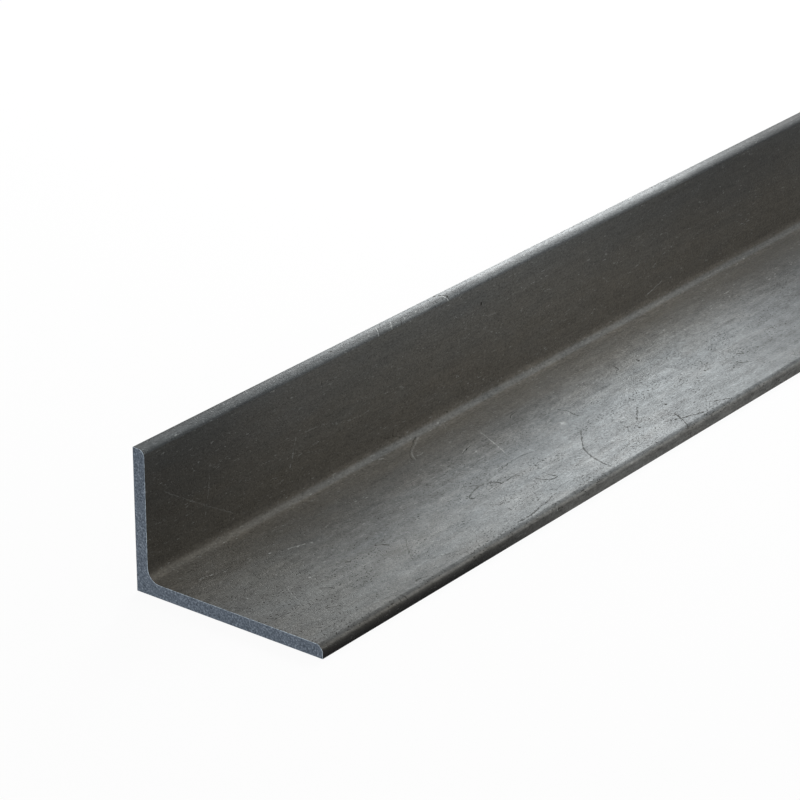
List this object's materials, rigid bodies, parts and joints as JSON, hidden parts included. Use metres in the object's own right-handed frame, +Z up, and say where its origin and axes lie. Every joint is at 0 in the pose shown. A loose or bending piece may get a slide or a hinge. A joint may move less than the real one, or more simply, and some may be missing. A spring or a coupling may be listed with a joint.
{
  "type": "metal angle section",
  "caption": "Length of hot-rolled steel angle with a long and a short leg, for framing, brackets and ledges, with square sawn ends.",
  "frame": {"origin": "centre of the underside of the long leg, at the middle of the length, on the floor", "axes": "+X along the length, +Y towards the short leg that stands up, +Z up out of the long leg that lies flat"},
  "size_m": [0.9144, 0.0762, 0.0508],
  "materials": {
    "mill_scale_steel": "hot-rolled, dark mill scale with fine scratches, ends sawn bare"
  },
  "bodies": {
    "root": {"steel_angle": "mill_scale_steel"}
  },
  "joints": []
}
